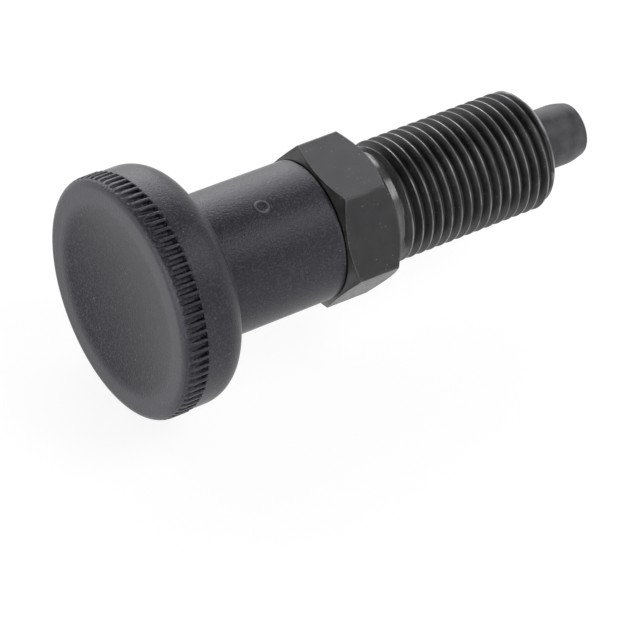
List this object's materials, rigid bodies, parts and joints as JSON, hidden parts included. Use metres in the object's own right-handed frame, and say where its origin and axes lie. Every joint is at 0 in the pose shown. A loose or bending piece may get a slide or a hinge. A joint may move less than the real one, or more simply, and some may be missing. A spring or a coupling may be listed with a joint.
{
  "type": "indexing plunger",
  "caption": "Spring-loaded indexing plunger: threaded hexagon guide body, tapered pin and a moulded black pull knob with a serrated rim.",
  "frame": {"origin": "centre of the hexagon's seat face, the face that lands on the machine wall", "axes": "+X along the plunger's axis towards the pin's nose, +Z square to one flat of the hexagon"},
  "size_m": [0.0701, 0.0316, 0.0316],
  "materials": {
    "black_oxide_steel": "black oxide, satin with glossy thread flanks",
    "black_oxide_pin": "black oxide over ground steel",
    "spring_wire": "drawn stainless spring wire",
    "bush_steel": "plain turned steel",
    "knob_plastic": "fine-grained matt black moulding"
  },
  "bodies": {
    "guide": {"guide_body": "black_oxide_steel", "rear_bush": "bush_steel"},
    "spring": {"return_spring": "spring_wire"},
    "plunger": {"plunger_pin": "black_oxide_pin", "knob": "knob_plastic"}
  },
  "joints": [
    {"name": "plunger_pull", "type": "slide", "parent": "guide", "child": "spring", "axis": [-1, 0, 0], "range_m": [0, 0.008], "stiffness_N_per_m": 2200, "springref_m": -0.0055, "deforming": ["return_spring"]},
    {"name": "knob_turn", "type": "hinge", "parent": "spring", "child": "plunger", "pos_m": [0, 0, 0], "axis": [1, 0, 0], "continuous": true}
  ]
}
